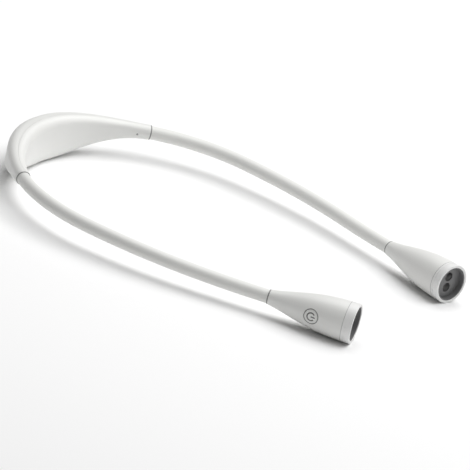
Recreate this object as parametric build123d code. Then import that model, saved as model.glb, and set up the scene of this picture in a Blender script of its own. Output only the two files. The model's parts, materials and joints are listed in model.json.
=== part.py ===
from build123d import *
from math import asin, atan2, cos, degrees, radians, sin, sqrt
import os

# A hands-free reading light, worn round the neck. A tall crescent housing sits behind the neck and holds
# the battery and the electronics. A flexible arm runs forward from each of its ends and carries a flared
# light head. Sizes are in millimetres. The loop is first modelled flat, with X to the wearer's right,
# Y forward, Z up and the centre of its rear half circle at zero. Then it is laid on its two bezels and the
# bottom of the housing.

# The loop's centre line
LOOP_RADIUS = 107.0
NECK_HALF_ANGLE = 51.0
SIDE_BEND_RADIUS = 339.0
TOE_IN = 15.4
HEAD_RISE = 2.5
ARM_LENGTH = 211.3
BEND_ZONE_LENGTH = 52.0

# Neck housing: a crescent band, round at its ends. In its middle it is tall, hangs lower and leans out.
NECK_END_WIDTH = 10.4
NECK_END_CORNER = 4.7
NECK_THICKNESS = 17.0
NECK_HEIGHT = 31.0
NECK_CORNER = 6.5
NECK_DROP = 5.2
NECK_LEAN = 6.4
NECK_WALL = 1.6
NECK_PARTING_GAP = 0.1
NECK_END_BLOCK = 20.0
NECK_END_CHAMFER = 0.3
SWELL_SHARE = 0.9
BAND_STATION_COUNT = 17

# Arms
ARM_RADIUS = 4.7
CORE_RADIUS = 2.8
CORE_BORE_RADIUS = 1.7
LEAD_RADIUS = 0.5
LEAD_SPACING = 1.2
LEAD_TAIL = 5.0
CORE_FIT = 0.05
SLEEVE_END_GAP = 0.05
FERRULE_WALL = 0.65
FERRULE_FIT = 0.05
FERRULE_FLANGE = 0.5
FERRULE_FLANGE_LENGTH = 1.2

# Light heads
HEAD_LENGTH = 61.7
HEAD_RADIUS = 14.0
HEAD_NECK_RADIUS = 5.2
HEAD_WALL = 1.6
HEAD_NOSE_LENGTH = 10.0
FLARE_POWER = 3
FLARE_SWELL = 2
OUTLINE_STEPS = 9
HEAD_EDGE_ROUND = 0.25
BEZEL_LENGTH = 6.5
BEZEL_SEAM = 0.15
BEZEL_EDGE_ROUND = 0.35
BEZEL_LINE_PLACE = 4.3
BEZEL_LINE_WIDTH = 0.35
BEZEL_LINE_DEPTH = 0.3
RIM_WALL = 1.8
RECESS_DEPTH = 4.2
PANEL_THICKNESS = 1.6
PANEL_LEDGE = 0.8
PANEL_LINING = 0.7
PANEL_LINING_DROP = 0.5
SPIGOT_WALL = 1.4
FIT = 0.05
LEDGE_LENGTH = 2.0
LEDGE_WIDTH = 4.6
SPREADER_THICKNESS = 2.0
BOARD_THICKNESS = 1.2
CHIP_SIZE = 3.2
CHIP_HEIGHT = 1.0
LENS_SPACING = 7.7
LENS_RADIUS = 3.25
LENS_FLANGE_RADIUS = 3.5
LENS_FLANGE_HEIGHT = 1.0
LENS_DOME = 0.9
LENS_GAP = 0.4

# Small screws, used on every board
SCREW_RADIUS = 0.75
SCREW_HEAD_RADIUS = 1.3
SCREW_HEAD_HEIGHT = 0.9
SCREW_BITE = 1.5
SCREW_INSET = 1.7

# Power button in the outer side of each head
BUTTON_PLACE_SHARE = 0.53
BUTTON_RADIUS = 4.75
BUTTON_FIT = 0.1
BUTTON_GROOVE_RADIUS = 5.5
BUTTON_GROOVE_DEPTH = 0.45
BUTTON_RIM = 0.65
BUTTON_RIM_HEIGHT = 0.6
BUTTON_RIM_GAP = 0.1
BUTTON_TRAVEL = 0.6
PLUNGER_RADIUS = 1.1
PLUNGER_SHOW = 0.9
PLUNGER_DEPTH = 1.2
SWITCH_SIZE = 6.0
SWITCH_HEIGHT = 3.5
SWITCH_BOARD_THICKNESS = 1.0
SWITCH_BOARD_LENGTH = 20.0
SWITCH_BOARD_GAP = 0.3
RAIL_THICKNESS = 1.4
RAIL_LAP = 1.2

# Electronics in the neck housing
CONTROL_BOARD_LENGTH = 34.0
CONTROL_BOARD_WIDTH = 9.8
CONTROL_BOARD_THICKNESS = 1.0
CONTROL_BOARD_OUTER_EDGE = 5.2
CONTROL_BOARD_LEVEL = -1.0
POST_LENGTH = 5.0
POST_SPLIT_GAP = 0.6
POST_PLACE = 13.0
SOCKET_WIDTH = 8.94
SOCKET_HEIGHT = 3.2
SOCKET_DEPTH = 7.3
SOCKET_WALL = 0.3
SOCKET_BACK = 0.8
SOCKET_SINK = 0.3
SOCKET_SLOT_GAP = 0.15
TONGUE_WIDTH = 6.7
TONGUE_HEIGHT = 0.7
TONGUE_LENGTH = 5.2
COIL_SIZE = 4.0
COIL_HEIGHT = 2.0
CHARGER_SIZE = 3.0
CHARGER_HEIGHT = 1.0
CHIP_PLACE = 8.0
CELL_LENGTH = 30.0
CELL_HEIGHT = 13.0
CELL_THICKNESS = 5.4
CELL_ROUND = 1.2
CELL_GAP = 1.6
FOAM_LENGTH = 20.0
FOAM_HEIGHT = 10.0
FOAM_THICKNESS = 2.9
CHARGE_LIGHT_RADIUS = 0.7
CHARGE_LIGHT_FIT = 0.03
CHARGE_LIGHT_PLACE = 9.6
CHARGE_LIGHT_LEVEL = -0.8
CHARGE_LIGHT_LENGTH = 0.9

OVERRUN = 5.0

UP = Vector(0, 0, 1)
ferrule_bore = CORE_RADIUS + CORE_FIT
ferrule_radius = ferrule_bore + FERRULE_WALL
ferrule_pocket = ferrule_radius + FERRULE_FIT
rear_run = radians(90 - NECK_HALF_ANGLE) * LOOP_RADIUS
side_run = radians(TOE_IN) * SIDE_BEND_RADIUS
tip_start = rear_run + side_run
tip_bend_radius = (ARM_LENGTH - tip_start) / radians(HEAD_RISE)
cell_angle = degrees((CONTROL_BOARD_LENGTH / 2 + CELL_GAP + CELL_LENGTH / 2) / LOOP_RADIUS)


# The loop's centre line, measured from the end of the neck housing, where the right arm starts


def arm_place(run):
    """The point of the right arm's centre line at this run, and the direction it heads in."""
    side_turn = radians(TOE_IN)
    if run <= rear_run:
        turn = radians(NECK_HALF_ANGLE) + run / LOOP_RADIUS
        point = Vector(LOOP_RADIUS * sin(turn), -LOOP_RADIUS * cos(turn), 0)
        return point, Vector(cos(turn), sin(turn), 0)
    turn = min((run - rear_run) / SIDE_BEND_RADIUS, side_turn)
    ahead = Vector(-sin(turn), cos(turn), 0)
    point = Vector(LOOP_RADIUS - SIDE_BEND_RADIUS * (1 - cos(turn)), SIDE_BEND_RADIUS * sin(turn), 0)
    rise = max(0, min(run, ARM_LENGTH) - tip_start) / tip_bend_radius
    point = point + (ahead * sin(rise) + UP * (1 - cos(rise))) * tip_bend_radius
    ahead = ahead * cos(rise) + UP * sin(rise)
    return point + ahead * max(0, run - ARM_LENGTH), ahead


def arm_route(start, end):
    """The stretch of centre line between two runs, as arcs and, inside the head, a straight line."""
    stops = [start] + [s for s in (rear_run, tip_start, ARM_LENGTH) if start < s < end] + [end]
    edges = []
    for a, b in zip(stops, stops[1:]):
        first, middle, last = (arm_place(run)[0] for run in (a, (a + b) / 2, b))
        straight = a >= ARM_LENGTH
        edges.append(Line(first, last) if straight else ThreePointArc(first, middle, last))
    return Wire([e.edge() for e in edges])


def across(point, ahead):
    """The plane across the arm at a point, with X up and Z ahead."""
    return Plane(origin=point, x_dir=ahead.cross(UP).cross(ahead), z_dir=ahead)


def tube(start, end, outer, inner=0):
    """A round tube or rod along the arm, between two runs."""
    section = Circle(outer) - Circle(inner) if inner else Circle(outer)
    return sweep(across(*arm_place(start)) * section, path=arm_route(start, end)).solid()


def to_left(shape):
    """The wearer's left copy of something on the right."""
    return mirror(shape, about=Plane.YZ)


# Neck housing


def swell(angle):
    """0 at the housing's ends and 1 in its middle."""
    share = min(1, (NECK_HALF_ANGLE - abs(angle)) / (NECK_HALF_ANGLE * SWELL_SHARE))
    return share * share * (3 - 2 * share)


def band_frame(angle):
    """The housing's section plane: X towards the neck, Y up the leaning band, Z round the loop."""
    turn = radians(angle)
    lean = radians(NECK_LEAN) * swell(angle)
    inward = Vector(-sin(turn), cos(turn), 0)
    centre = Vector(LOOP_RADIUS * sin(turn), -LOOP_RADIUS * cos(turn), -NECK_DROP * swell(angle))
    ahead = Vector(cos(turn), sin(turn), 0)
    return Plane(origin=centre, x_dir=inward * cos(lean) + UP * sin(lean), z_dir=ahead)


def band_size(angle):
    """Half thickness, half height and corner radius of the section."""
    part = swell(angle)
    ends = (NECK_END_WIDTH / 2, NECK_END_WIDTH / 2, NECK_END_CORNER)
    middle = (NECK_THICKNESS / 2, NECK_HEIGHT / 2, NECK_CORNER)
    return tuple(a + (b - a) * part for a, b in zip(ends, middle))


def band(half_angle, inset=0):
    """The crescent out to this angle on both sides, its section drawn in by inset."""
    sections = []
    for step in range(BAND_STATION_COUNT):
        angle = half_angle * (2 * step / (BAND_STATION_COUNT - 1) - 1)
        half_thickness, half_height, corner = band_size(angle)
        outline = RectangleRounded(2 * (half_thickness - inset), 2 * (half_height - inset), corner - inset)
        sections.append(band_frame(angle) * outline)
    return loft(sections).solid()


def box_in(frame, low, high):
    """A box between two corners, given in a frame's own directions."""
    size = [b - a for a, b in zip(low, high)]
    middle = [(a + b) / 2 for a, b in zip(low, high)]
    return frame * Pos(*middle) * Box(*size)


def rod_in(frame, point, towards, length, radius):
    """A rod that starts at a point of a frame and runs along one of its directions."""
    rod = Cylinder(radius, length, align=(Align.CENTER, Align.CENTER, Align.MIN))
    return frame * Plane(origin=point, z_dir=towards) * rod


middle_frame = band_frame(0)
left_light_frame = band_frame(-(NECK_HALF_ANGLE - degrees(CHARGE_LIGHT_PLACE / LOOP_RADIUS)))
inner_half = NECK_THICKNESS / 2 - NECK_WALL
board_top = CONTROL_BOARD_LEVEL
board_bottom = board_top - CONTROL_BOARD_THICKNESS
socket_front = -(NECK_THICKNESS / 2 - SOCKET_SINK)
socket_level = board_top + SOCKET_HEIGHT / 2
post_middle = -(CONTROL_BOARD_OUTER_EDGE + POST_SPLIT_GAP) / 2
light_start = NECK_END_WIDTH / 2 - CHARGE_LIGHT_LENGTH


def charge_light_rod(radius):
    """The charge light's rod, before it is cut flush with the band."""
    start = (light_start, CHARGE_LIGHT_LEVEL, 0)
    return rod_in(left_light_frame, start, (1, 0, 0), OVERRUN, radius)


def socket_outline(gap):
    """The charging socket's round-ended outline, grown by a gap."""
    return SlotOverall(SOCKET_WIDTH + 2 * gap, SOCKET_HEIGHT + 2 * gap)


def socket_frame(depth):
    """A plane across the socket, at a depth in the band, with X round the loop, facing out."""
    here = middle_frame * Pos(depth, socket_level, 0)
    return Plane(origin=here.position, x_dir=middle_frame.z_dir, z_dir=-middle_frame.x_dir)


def screw(frame, point, away, hold):
    """A screw whose head sits on point, with a shank this long behind it."""
    back = tuple(-v for v in away)
    head = rod_in(frame, point, away, SCREW_HEAD_HEIGHT, SCREW_HEAD_RADIUS)
    return (head + rod_in(frame, point, back, hold, SCREW_RADIUS)).solid()


def neck_shells():
    """The back shell and the shell against the neck, parted along the loop's centre line."""
    outside = band(NECK_HALF_ANGLE)
    end_edges = outside.faces().sort_by(Axis.Y)[-2:].edges()
    outside = chamfer(end_edges, NECK_END_CHAMFER)
    cavity_angle = NECK_HALF_ANGLE - degrees(NECK_END_BLOCK / LOOP_RADIUS)
    shell = outside - band(cavity_angle, NECK_WALL)
    pocket = tube(-NECK_END_BLOCK - FERRULE_FLANGE_LENGTH, OVERRUN, ferrule_pocket)
    shell = shell - pocket - to_left(pocket)
    height = NECK_HEIGHT + NECK_DROP + OVERRUN
    within = Cylinder(LOOP_RADIUS - NECK_PARTING_GAP / 2, 2 * height)
    beyond = Cylinder(LOOP_RADIUS + NECK_PARTING_GAP / 2, 2 * height)
    inner = (shell & within) - charge_light_rod(CHARGE_LIGHT_RADIUS + CHARGE_LIGHT_FIT)
    outer = shell - beyond
    for side in (-1, 1):
        low = (-NECK_THICKNESS / 2, -NECK_HEIGHT / 2, side * POST_PLACE - POST_LENGTH / 2)
        high = (-POST_SPLIT_GAP, board_bottom, side * POST_PLACE + POST_LENGTH / 2)
        outer = outer + ((box_in(middle_frame, low, high) & outside) - beyond)
        top = (post_middle, board_bottom, side * POST_PLACE)
        depth = SCREW_BITE * 2 + FIT
        outer = outer - rod_in(middle_frame, top, (0, -1, 0), depth, SCREW_RADIUS + FIT)
    slot = extrude(socket_frame(-inner_half + NECK_WALL) * socket_outline(SOCKET_SLOT_GAP), NECK_THICKNESS)
    return (outer - slot).solid(), inner.solid(), outside


def control_board():
    """The board lies across the middle of the housing, on two posts of the back shell."""
    low = (-CONTROL_BOARD_OUTER_EDGE, board_bottom, -CONTROL_BOARD_LENGTH / 2)
    high = (low[0] + CONTROL_BOARD_WIDTH, board_top, CONTROL_BOARD_LENGTH / 2)
    board = box_in(middle_frame, low, high)
    for side in (-1, 1):
        top = (post_middle, board_top, side * POST_PLACE)
        board = board - rod_in(middle_frame, top, (0, -1, 0), CONTROL_BOARD_THICKNESS, SCREW_RADIUS + FIT)
    return board.solid()


def control_board_screws():
    hold = CONTROL_BOARD_THICKNESS + SCREW_BITE * 2
    return [
        screw(middle_frame, (post_middle, board_top, side * POST_PLACE), (0, 1, 0), hold) for side in (-1, 1)
    ]


def board_chips():
    """The charging chip and the lamp driver's coil, one each side of the socket."""
    across = CONTROL_BOARD_WIDTH - CONTROL_BOARD_OUTER_EDGE - COIL_SIZE
    coil = box_in(
        middle_frame,
        (across, board_top, CHIP_PLACE - COIL_SIZE / 2),
        (across + COIL_SIZE, board_top + COIL_HEIGHT, CHIP_PLACE + COIL_SIZE / 2),
    )
    charger = box_in(
        middle_frame,
        (across, board_top, -CHIP_PLACE - CHARGER_SIZE / 2),
        (across + CHARGER_SIZE, board_top + CHARGER_HEIGHT, -CHIP_PLACE + CHARGER_SIZE / 2),
    )
    return [coil.solid(), charger.solid()]


def charging_socket():
    """A small two-way charging socket: a rolled metal shell with a closed back."""
    outside = extrude(socket_frame(socket_front) * socket_outline(0), -SOCKET_DEPTH)
    mouth_depth = SOCKET_DEPTH - SOCKET_BACK
    mouth = extrude(socket_frame(socket_front) * socket_outline(-SOCKET_WALL), -mouth_depth)
    return (outside - mouth).solid()


def charging_tongue():
    """The socket's contact tongue stands on its closed back."""
    back = socket_front + SOCKET_DEPTH - SOCKET_BACK
    low = (back - TONGUE_LENGTH, socket_level - TONGUE_HEIGHT / 2, -TONGUE_WIDTH / 2)
    high = (back, socket_level + TONGUE_HEIGHT / 2, TONGUE_WIDTH / 2)
    return box_in(middle_frame, low, high).solid()


def battery_cell(angle):
    """A flat pouch cell, standing along the band."""
    outline = RectangleRounded(CELL_THICKNESS, CELL_HEIGHT, CELL_ROUND)
    return (band_frame(angle) * Pos(0, 0, -CELL_LENGTH / 2) * extrude(outline, CELL_LENGTH)).solid()


def battery_foam(angle):
    """A foam block that presses a cell away from the neck side."""
    low = (CELL_THICKNESS / 2, -FOAM_HEIGHT / 2, -FOAM_LENGTH / 2)
    high = (CELL_THICKNESS / 2 + FOAM_THICKNESS, FOAM_HEIGHT / 2, FOAM_LENGTH / 2)
    return box_in(band_frame(angle), low, high).solid()


# Arms


def ferrule(start, end, flange_start, flange_end):
    """A metal sleeve crimped on the core's end, with a flange that can't be pulled through its pocket."""
    barrel = tube(start, end, ferrule_radius, ferrule_bore)
    flange = tube(flange_start, flange_end, ferrule_radius + FERRULE_FLANGE, ferrule_bore)
    return (barrel + flange).solid()


def arm_sleeve(start, end):
    return tube(start + SLEEVE_END_GAP, end - SLEEVE_END_GAP, ARM_RADIUS, ferrule_bore)


def arm_core(start, end):
    return tube(start, end, CORE_RADIUS, CORE_BORE_RADIUS)


def arm_leads(start, end):
    """The two wires, one over the other in the core's bore."""
    wire = tube(start, end, LEAD_RADIUS)
    return [Pos(0, 0, side * LEAD_SPACING / 2) * wire for side in (-1, 1)]


core_start = -NECK_END_BLOCK - FERRULE_FLANGE_LENGTH
core_end = ARM_LENGTH + HEAD_NOSE_LENGTH + FERRULE_FLANGE_LENGTH
first_stop = BEND_ZONE_LENGTH
last_stop = ARM_LENGTH - BEND_ZONE_LENGTH
arm_spans = {
    "arm_root": (0, first_stop, core_start, first_stop, core_start - LEAD_TAIL, first_stop),
    "arm": (first_stop, last_stop) * 3,
    "arm_tip": (last_stop, ARM_LENGTH, last_stop, core_end, last_stop, core_end + LEAD_TAIL),
}


# Light heads: X up, Y outwards and Z forward along the head, from the end of the arm

head_point, head_ahead = arm_place(ARM_LENGTH)
head_frame = across(head_point, head_ahead)
seam_place = HEAD_LENGTH - BEZEL_LENGTH
panel_front = HEAD_LENGTH - RECESS_DEPTH
panel_back = panel_front - PANEL_THICKNESS
lens_back = panel_back - LENS_FLANGE_HEIGHT
board_front = lens_back - LENS_GAP - CHIP_HEIGHT
board_back = board_front - BOARD_THICKNESS
spreader_back = board_back - SPREADER_THICKNESS
panel_radius = HEAD_RADIUS - RIM_WALL - FIT
spigot_bore = HEAD_RADIUS - RIM_WALL - PANEL_LEDGE
spigot_radius = spigot_bore + SPIGOT_WALL
board_radius = spigot_bore - 2 * FIT
mouth_radius = spigot_radius + FIT
screw_place = board_radius - SCREW_INSET
ledge_bore = mouth_radius - LEDGE_WIDTH


def head_radius(place):
    """The flare: slender at the arm, quickly wider, then almost straight to the front."""
    share = place / HEAD_LENGTH
    flare = 1 - (1 - share) ** FLARE_POWER * (1 + FLARE_SWELL * share)
    return HEAD_NECK_RADIUS + (HEAD_RADIUS - HEAD_NECK_RADIUS) * flare


def turned(points):
    """A solid turned about the head's axis from straight-sided points of radius and place."""
    return revolve(Plane.XZ * make_face(Polyline(*points, close=True)), Axis.Z).solid()


def flared(start, end, inset=0):
    """A turned solid with the head's flared outline, drawn in by inset."""
    places = [start + (end - start) * step / (OUTLINE_STEPS - 1) for step in range(OUTLINE_STEPS)]
    side = Spline(*[(head_radius(p) - inset, p) for p in places])
    rest = Polyline(side @ 1, (0, end), (0, start), side @ 0)
    return revolve(Plane.XZ * make_face(side + rest), Axis.Z).solid()


def ring(outer, inner, start, end):
    return turned([(inner, start), (outer, start), (outer, end), (inner, end)])


def disc(radius, start, end):
    return turned([(0, start), (radius, start), (radius, end), (0, end)])


button_place = HEAD_LENGTH * BUTTON_PLACE_SHARE
rim_reach = BUTTON_RADIUS + BUTTON_RIM
cavity_radius_at_rim = head_radius(button_place - rim_reach) - HEAD_WALL
rim_top = sqrt(cavity_radius_at_rim**2 - rim_reach**2) - BUTTON_RIM_GAP
cap_bottom = rim_top - BUTTON_RIM_HEIGHT
plunger_top = cap_bottom - FIT
switch_top = plunger_top - PLUNGER_SHOW
switch_bottom = switch_top - SWITCH_HEIGHT
switch_board_back = switch_bottom - SWITCH_BOARD_THICKNESS
switch_board_start = button_place - SWITCH_BOARD_LENGTH / 2
room_at_board = head_radius(switch_board_start) - HEAD_WALL
switch_board_half = sqrt(room_at_board**2 - switch_bottom**2) - SWITCH_BOARD_GAP
head_axes = Plane.XY


def outward_rod(start, end, radius):
    """A rod along the button's line, between two distances from the head's axis."""
    return rod_in(head_axes, (0, start, button_place), (0, 1, 0), end - start, radius)


def screw_hole(side, start, end):
    """A hole for one of the two screws that hold the LED board."""
    return rod_in(head_axes, (0, side * screw_place, start), (0, 0, 1), end - start, SCREW_RADIUS + FIT)


def head_shell():
    outside = flared(0, seam_place - BEZEL_SEAM)
    rims = outside.edges().filter_by(GeomType.CIRCLE).group_by(Axis.Z)
    outside = fillet(rims[0] + rims[-1], HEAD_EDGE_ROUND).solid()
    shell = outside - flared(HEAD_NOSE_LENGTH, seam_place, HEAD_WALL)
    shell = shell - disc(mouth_radius, spreader_back, seam_place)
    shell = shell - disc(ferrule_pocket, -OVERRUN, HEAD_NOSE_LENGTH + OVERRUN)
    ledge_start = spreader_back - LEDGE_LENGTH
    shell = shell + ring(mouth_radius + HEAD_WALL / 2, ledge_bore, ledge_start, spreader_back)
    for side in (-1, 1):
        low = (switch_board_half - RAIL_LAP, switch_board_back - RAIL_THICKNESS, switch_board_start)
        high = (HEAD_RADIUS, switch_board_back, switch_board_start + SWITCH_BOARD_LENGTH)
        rail = box_in(head_axes, low, high)
        shell = shell + (outside & (rail if side > 0 else mirror(rail, about=Plane.YZ)))
        shell = shell - screw_hole(side, ledge_start, spreader_back)
    groove = outward_rod(switch_top, HEAD_RADIUS + OVERRUN, BUTTON_GROOVE_RADIUS)
    shell = shell - (groove - flared(0, seam_place, BUTTON_GROOVE_DEPTH))
    return (shell - outward_rod(switch_top, HEAD_RADIUS + OVERRUN, BUTTON_RADIUS + BUTTON_FIT)).solid()


def bezel_ring():
    """The front ring: a spigot in the shell, a ledge that holds the panel and a rim that stands proud."""
    rim = panel_radius + FIT
    line_back = HEAD_LENGTH - BEZEL_LINE_PLACE - BEZEL_LINE_WIDTH
    line_front = HEAD_LENGTH - BEZEL_LINE_PLACE
    outline = [
        (head_radius(seam_place) - HEAD_EDGE_ROUND, seam_place),
        (head_radius(seam_place), seam_place + HEAD_EDGE_ROUND),
        (head_radius(line_back), line_back),
        (head_radius(line_back) - BEZEL_LINE_DEPTH, line_back),
        (head_radius(line_front) - BEZEL_LINE_DEPTH, line_front),
        (head_radius(line_front), line_front),
        (HEAD_RADIUS, HEAD_LENGTH),
        (rim, HEAD_LENGTH),
        (rim, panel_back),
        (spigot_bore, panel_back),
        (spigot_bore, spreader_back + FIT),
        (spigot_radius, spreader_back + FIT),
        (spigot_radius, seam_place),
    ]
    whole = turned(outline)
    front_edges = whole.edges().filter_by(GeomType.CIRCLE).group_by(Axis.Z)[-1]
    return fillet(front_edges, BEZEL_EDGE_ROUND).solid()


def front_panel():
    """A shallow dark cup: its wall lines the bezel, and the two lenses show through its floor."""
    lining_end = HEAD_LENGTH - PANEL_LINING_DROP
    lining = ring(panel_radius, panel_radius - PANEL_LINING, panel_back, lining_end)
    panel = disc(panel_radius, panel_back, panel_front) + lining
    for side in (-1, 1):
        panel = panel - Pos(side * LENS_SPACING / 2, 0, 0) * disc(LENS_RADIUS + FIT, panel_back, panel_front)
    return panel.solid()


def lens(side):
    """A lens with a flange behind the panel and a low dome in front of it."""
    profile = Polyline(
        (0, lens_back + LENS_FLANGE_HEIGHT + PANEL_THICKNESS + LENS_DOME),
        (0, lens_back),
        (LENS_FLANGE_RADIUS, lens_back),
        (LENS_FLANGE_RADIUS, panel_back),
        (LENS_RADIUS, panel_back),
        (LENS_RADIUS, panel_front),
    )
    dome_radius = (LENS_RADIUS**2 + LENS_DOME**2) / (2 * LENS_DOME)
    half_turn = asin(LENS_RADIUS / dome_radius) / 2
    centre = panel_front + LENS_DOME - dome_radius
    between = (dome_radius * sin(half_turn), centre + dome_radius * cos(half_turn))
    dome = ThreePointArc((LENS_RADIUS, panel_front), between, (0, panel_front + LENS_DOME))
    whole = revolve(Plane.XZ * make_face(profile + dome), Axis.Z)
    return (Pos(side * LENS_SPACING / 2, 0, 0) * whole).solid()


def head_plate(start, end):
    """A round plate with the two screw holes: the LED board and the heat spreader."""
    plate = disc(board_radius, start, end)
    for side in (-1, 1):
        plate = plate - screw_hole(side, start, end)
    return plate.solid()


def led_chips():
    half = CHIP_SIZE / 2
    chips = []
    for side in (-1, 1):
        centre = side * LENS_SPACING / 2
        low = (centre - half, -half, board_front)
        high = (centre + half, half, board_front + CHIP_HEIGHT)
        chips.append(box_in(head_axes, low, high).solid())
    return chips


def led_board_screws():
    hold = BOARD_THICKNESS + SPREADER_THICKNESS + SCREW_BITE
    return [screw(head_axes, (0, side * screw_place, board_front), (0, 0, 1), hold) for side in (-1, 1)]


def head_ferrule():
    """The core's front end in the shell's nose, flanged inside the shell."""
    barrel = ring(ferrule_radius, ferrule_bore, FIT, HEAD_NOSE_LENGTH)
    flange_end = HEAD_NOSE_LENGTH + FERRULE_FLANGE_LENGTH
    flange = ring(ferrule_radius + FERRULE_FLANGE, ferrule_bore, HEAD_NOSE_LENGTH, flange_end)
    return (barrel + flange).solid()


def power_button():
    """A round cap, flush with the head and kept in by its rim."""
    cap = outward_rod(cap_bottom, HEAD_RADIUS + OVERRUN, BUTTON_RADIUS) & flared(0, seam_place)
    return (cap + outward_rod(cap_bottom, rim_top, rim_reach)).solid()


def switch_plunger():
    return outward_rod(switch_top - PLUNGER_DEPTH, plunger_top, PLUNGER_RADIUS).solid()


def switch_body():
    half = SWITCH_SIZE / 2
    low = (-half, switch_bottom, button_place - half)
    body = box_in(head_axes, low, (half, switch_top, button_place + half))
    bore_floor = switch_top - PLUNGER_DEPTH - BUTTON_TRAVEL - 2 * FIT
    return (body - outward_rod(bore_floor, switch_top, PLUNGER_RADIUS + FIT)).solid()


def switch_board():
    low = (-switch_board_half, switch_board_back, switch_board_start)
    high = (switch_board_half, switch_bottom, switch_board_start + SWITCH_BOARD_LENGTH)
    return box_in(head_axes, low, high).solid()


def right_side():
    """Every piece of the right arm and head."""
    pieces = {"neck_ferrule": ferrule(-NECK_END_BLOCK, -FIT, core_start, -NECK_END_BLOCK)}
    for name, (sleeve_from, sleeve_to, core_from, core_to, leads_from, leads_to) in arm_spans.items():
        pieces[f"{name}_sleeve"] = arm_sleeve(sleeve_from, sleeve_to)
        pieces[f"{name}_core"] = arm_core(core_from, core_to)
        pieces[f"{name}_leads"] = arm_leads(leads_from, leads_to)
    head = {
        "head_shell": head_shell(),
        "bezel_ring": bezel_ring(),
        "front_panel": front_panel(),
        "upper_lens": lens(1),
        "lower_lens": lens(-1),
        "led_board": head_plate(board_back, board_front),
        "heat_spreader": head_plate(spreader_back, board_back),
        "led_chips": led_chips(),
        "led_board_screws": led_board_screws(),
        "head_ferrule": head_ferrule(),
        "power_button": power_button(),
        "switch_plunger": switch_plunger(),
        "switch_body": switch_body(),
        "switch_board": switch_board(),
    }
    for name, shapes in head.items():
        solids = shapes if isinstance(shapes, list) else [shapes]
        pieces[name] = [head_frame * solid for solid in solids]
    return {name: shapes if isinstance(shapes, list) else [shapes] for name, shapes in pieces.items()}


# The whole light


def whole_light():
    """Every node's solids, in the flat loop's own frame."""
    outer_shell, inner_shell, outside = neck_shells()
    charge_light = (charge_light_rod(CHARGE_LIGHT_RADIUS) & outside).solid()
    nodes = {
        "neck_outer_shell": [outer_shell],
        "neck_inner_shell": [inner_shell],
        "control_board": [control_board()],
        "control_board_screws": control_board_screws(),
        "board_chips": board_chips(),
        "charging_socket": [charging_socket()],
        "charging_tongue": [charging_tongue()],
        "right_battery_cell": [battery_cell(cell_angle)],
        "left_battery_cell": [battery_cell(-cell_angle)],
        "battery_foam": [battery_foam(cell_angle), battery_foam(-cell_angle)],
        "charge_light": [charge_light],
    }
    for name, solids in right_side().items():
        nodes[f"right_{name}"] = solids
        nodes[f"left_{name}"] = [to_left(solid) for solid in solids]
    return nodes


def rest_tilt():
    """How far the loop tips forward when it stands on the housing's bottom and both bezels, in degrees."""
    lean = radians(NECK_LEAN)
    flat_half = NECK_THICKNESS / 2 - NECK_CORNER
    flat_height = NECK_HEIGHT / 2 - NECK_CORNER
    neck_bottom = -NECK_DROP - flat_half * sin(lean) - flat_height * cos(lean) - NECK_CORNER
    neck_place = -LOOP_RADIUS - flat_half * cos(lean) + flat_height * sin(lean)
    rim = head_point + head_ahead * HEAD_LENGTH - head_frame.x_dir * HEAD_RADIUS
    return degrees(atan2(rim.Z - neck_bottom, rim.Y - neck_place))


def resting_place(nodes):
    """The move that lays the flat loop on the ground, centred on its bounding box."""
    tip = Rot(-rest_tilt(), 0, 0)
    boxes = [(tip * solid).bounding_box() for solids in nodes.values() for solid in solids]
    bottom = min(box.min.Z for box in boxes)
    middle = (min(box.min.Y for box in boxes) + max(box.max.Y for box in boxes)) / 2
    return Pos(0, -middle, -bottom) * tip


nodes = whole_light()
rest = resting_place(nodes)
os.makedirs("parts", exist_ok=True)
for name, solids in nodes.items():
    placed = [rest * solid for solid in solids]
    export_step(placed[0] if len(placed) == 1 else Compound(children=placed), f"parts/{name}.step")
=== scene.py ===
import json
from math import asin, cos, pi, radians, sin, sqrt

import bpy
from mathutils import Matrix, Vector


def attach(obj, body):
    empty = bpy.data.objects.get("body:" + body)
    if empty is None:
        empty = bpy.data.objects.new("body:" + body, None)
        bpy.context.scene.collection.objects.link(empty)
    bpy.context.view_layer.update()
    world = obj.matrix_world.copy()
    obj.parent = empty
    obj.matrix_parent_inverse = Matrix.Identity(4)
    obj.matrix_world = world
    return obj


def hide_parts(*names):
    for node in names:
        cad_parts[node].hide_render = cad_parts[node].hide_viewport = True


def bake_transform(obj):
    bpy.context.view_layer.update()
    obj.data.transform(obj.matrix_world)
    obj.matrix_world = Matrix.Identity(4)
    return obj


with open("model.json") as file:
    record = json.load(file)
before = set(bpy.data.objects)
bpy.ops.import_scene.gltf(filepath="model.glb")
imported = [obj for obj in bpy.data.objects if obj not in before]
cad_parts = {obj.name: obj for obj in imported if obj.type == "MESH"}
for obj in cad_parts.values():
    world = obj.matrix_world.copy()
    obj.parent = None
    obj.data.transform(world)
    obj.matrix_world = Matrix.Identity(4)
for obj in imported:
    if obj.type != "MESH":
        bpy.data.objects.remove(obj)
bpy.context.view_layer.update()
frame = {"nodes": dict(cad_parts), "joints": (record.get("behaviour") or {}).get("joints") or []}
bpy.context.scene.view_settings.view_transform = "Standard"

# The view
# A long lens looks from the front right and a little above, turned about its own line of sight.
# The scale is the photo's, in pixels to the metre. The target lies at the target pixel.
PHOTO_SIZE = 470
PHOTO_SCALE = 1461
TARGET = Vector((0, 0, 0.016))
TARGET_PIXEL = (216.4, 217.7)
VIEW_AZIMUTH = radians(116.4)
VIEW_ELEVATION = radians(20.6)
VIEW_ROLL = radians(14.1)
VIEW_DISTANCE = 6
SENSOR_WIDTH = 36

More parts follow.
